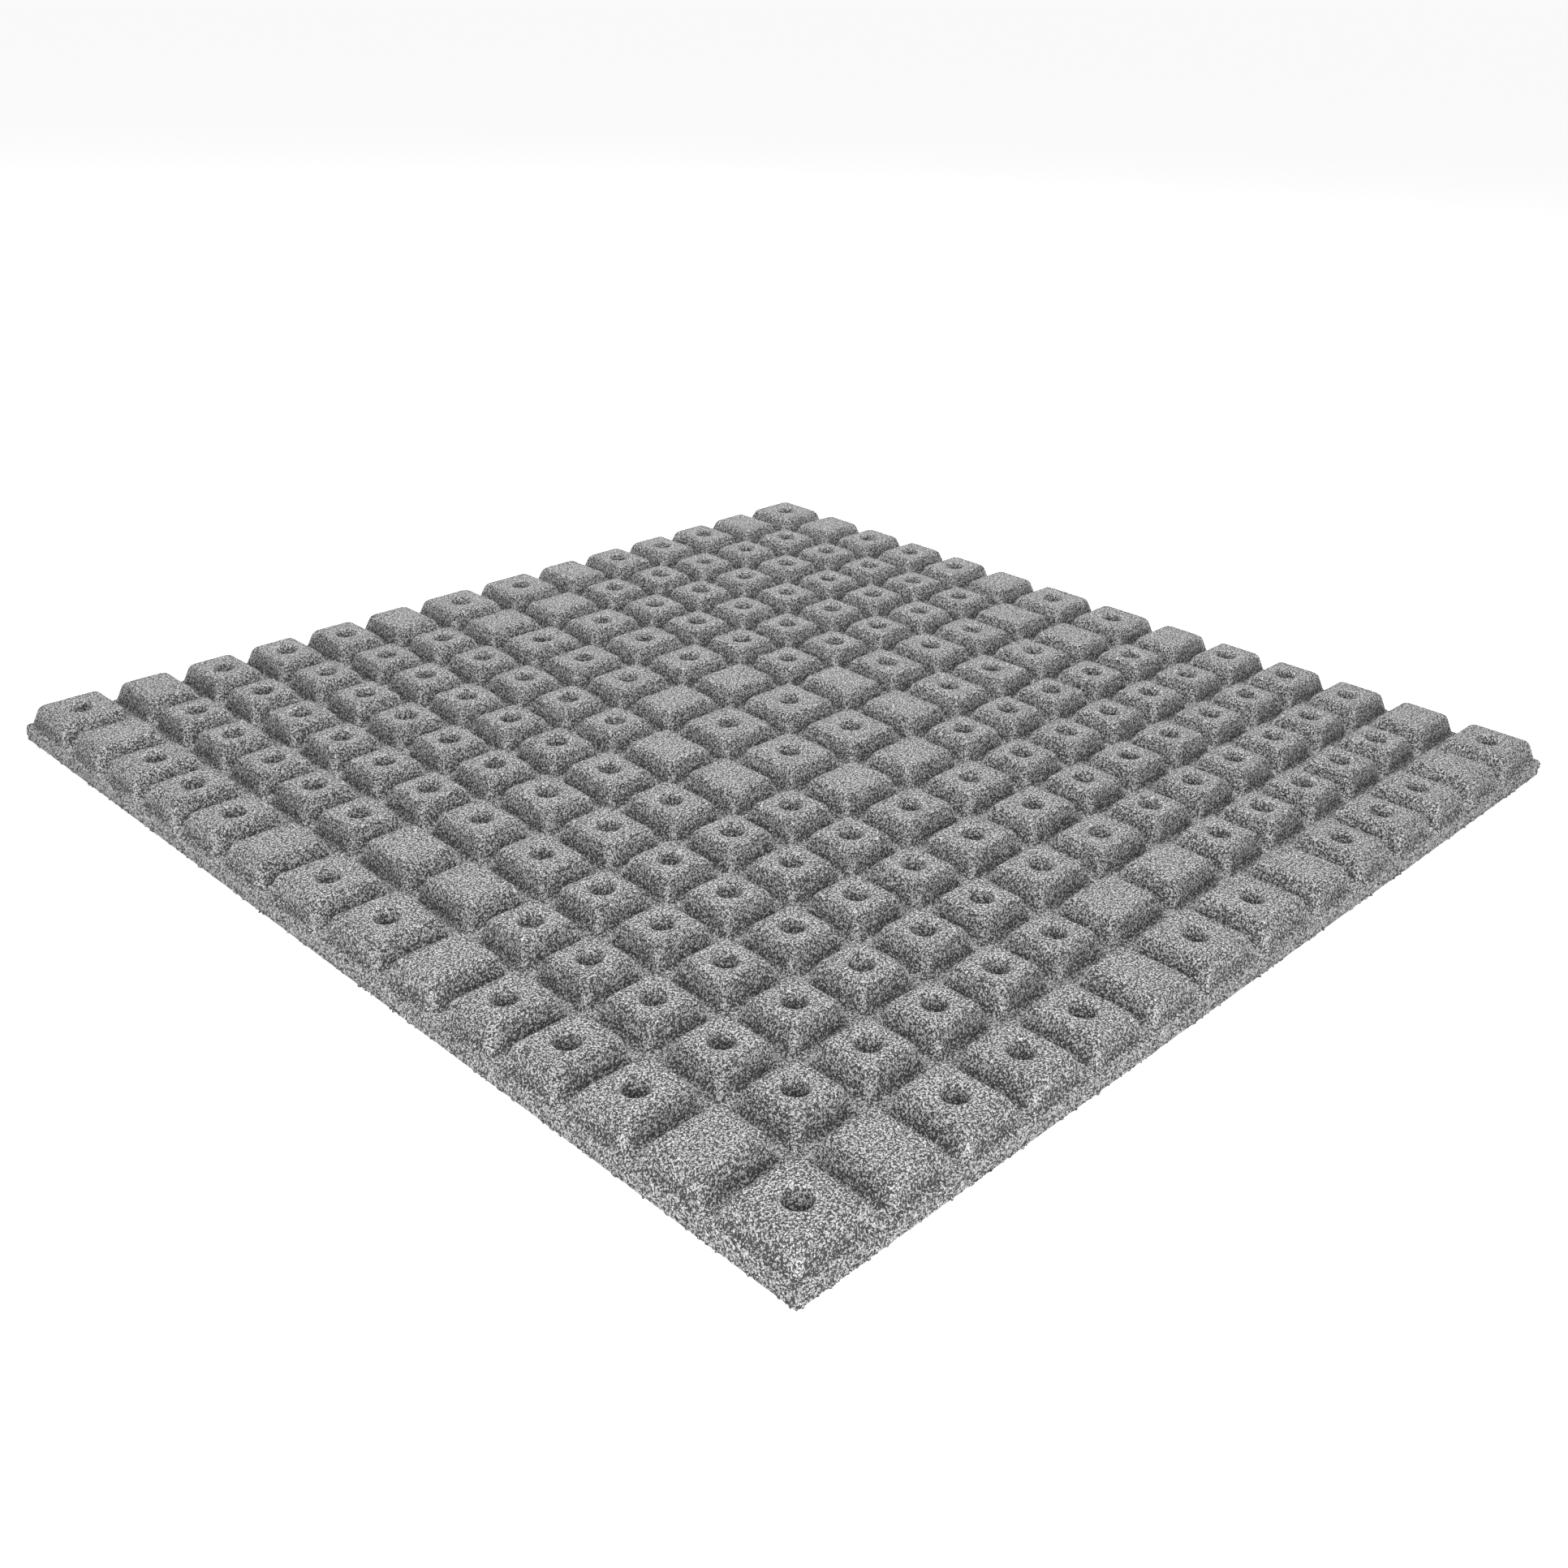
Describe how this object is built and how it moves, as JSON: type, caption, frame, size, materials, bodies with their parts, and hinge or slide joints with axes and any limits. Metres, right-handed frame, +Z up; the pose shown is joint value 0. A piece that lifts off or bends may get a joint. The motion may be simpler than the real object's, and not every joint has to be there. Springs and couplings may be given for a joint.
{
  "type": "rubber safety tile",
  "caption": "Square safety floor tile of bonded rubber granulate, moulded in one piece, with a grid of square feet and blind holes.",
  "frame": {"origin": "middle of the walking face, which lies on the floor", "axes": "+Z up through the feet, X and Y along the tile's sides"},
  "size_m": [1, 1, 0.035],
  "materials": {
    "grey_rubber": "matt bonded granulate in mid grey, with pale pressed grains and dark gaps between them"
  },
  "bodies": {
    "root": {"safety_tile": "grey_rubber"}
  },
  "joints": []
}
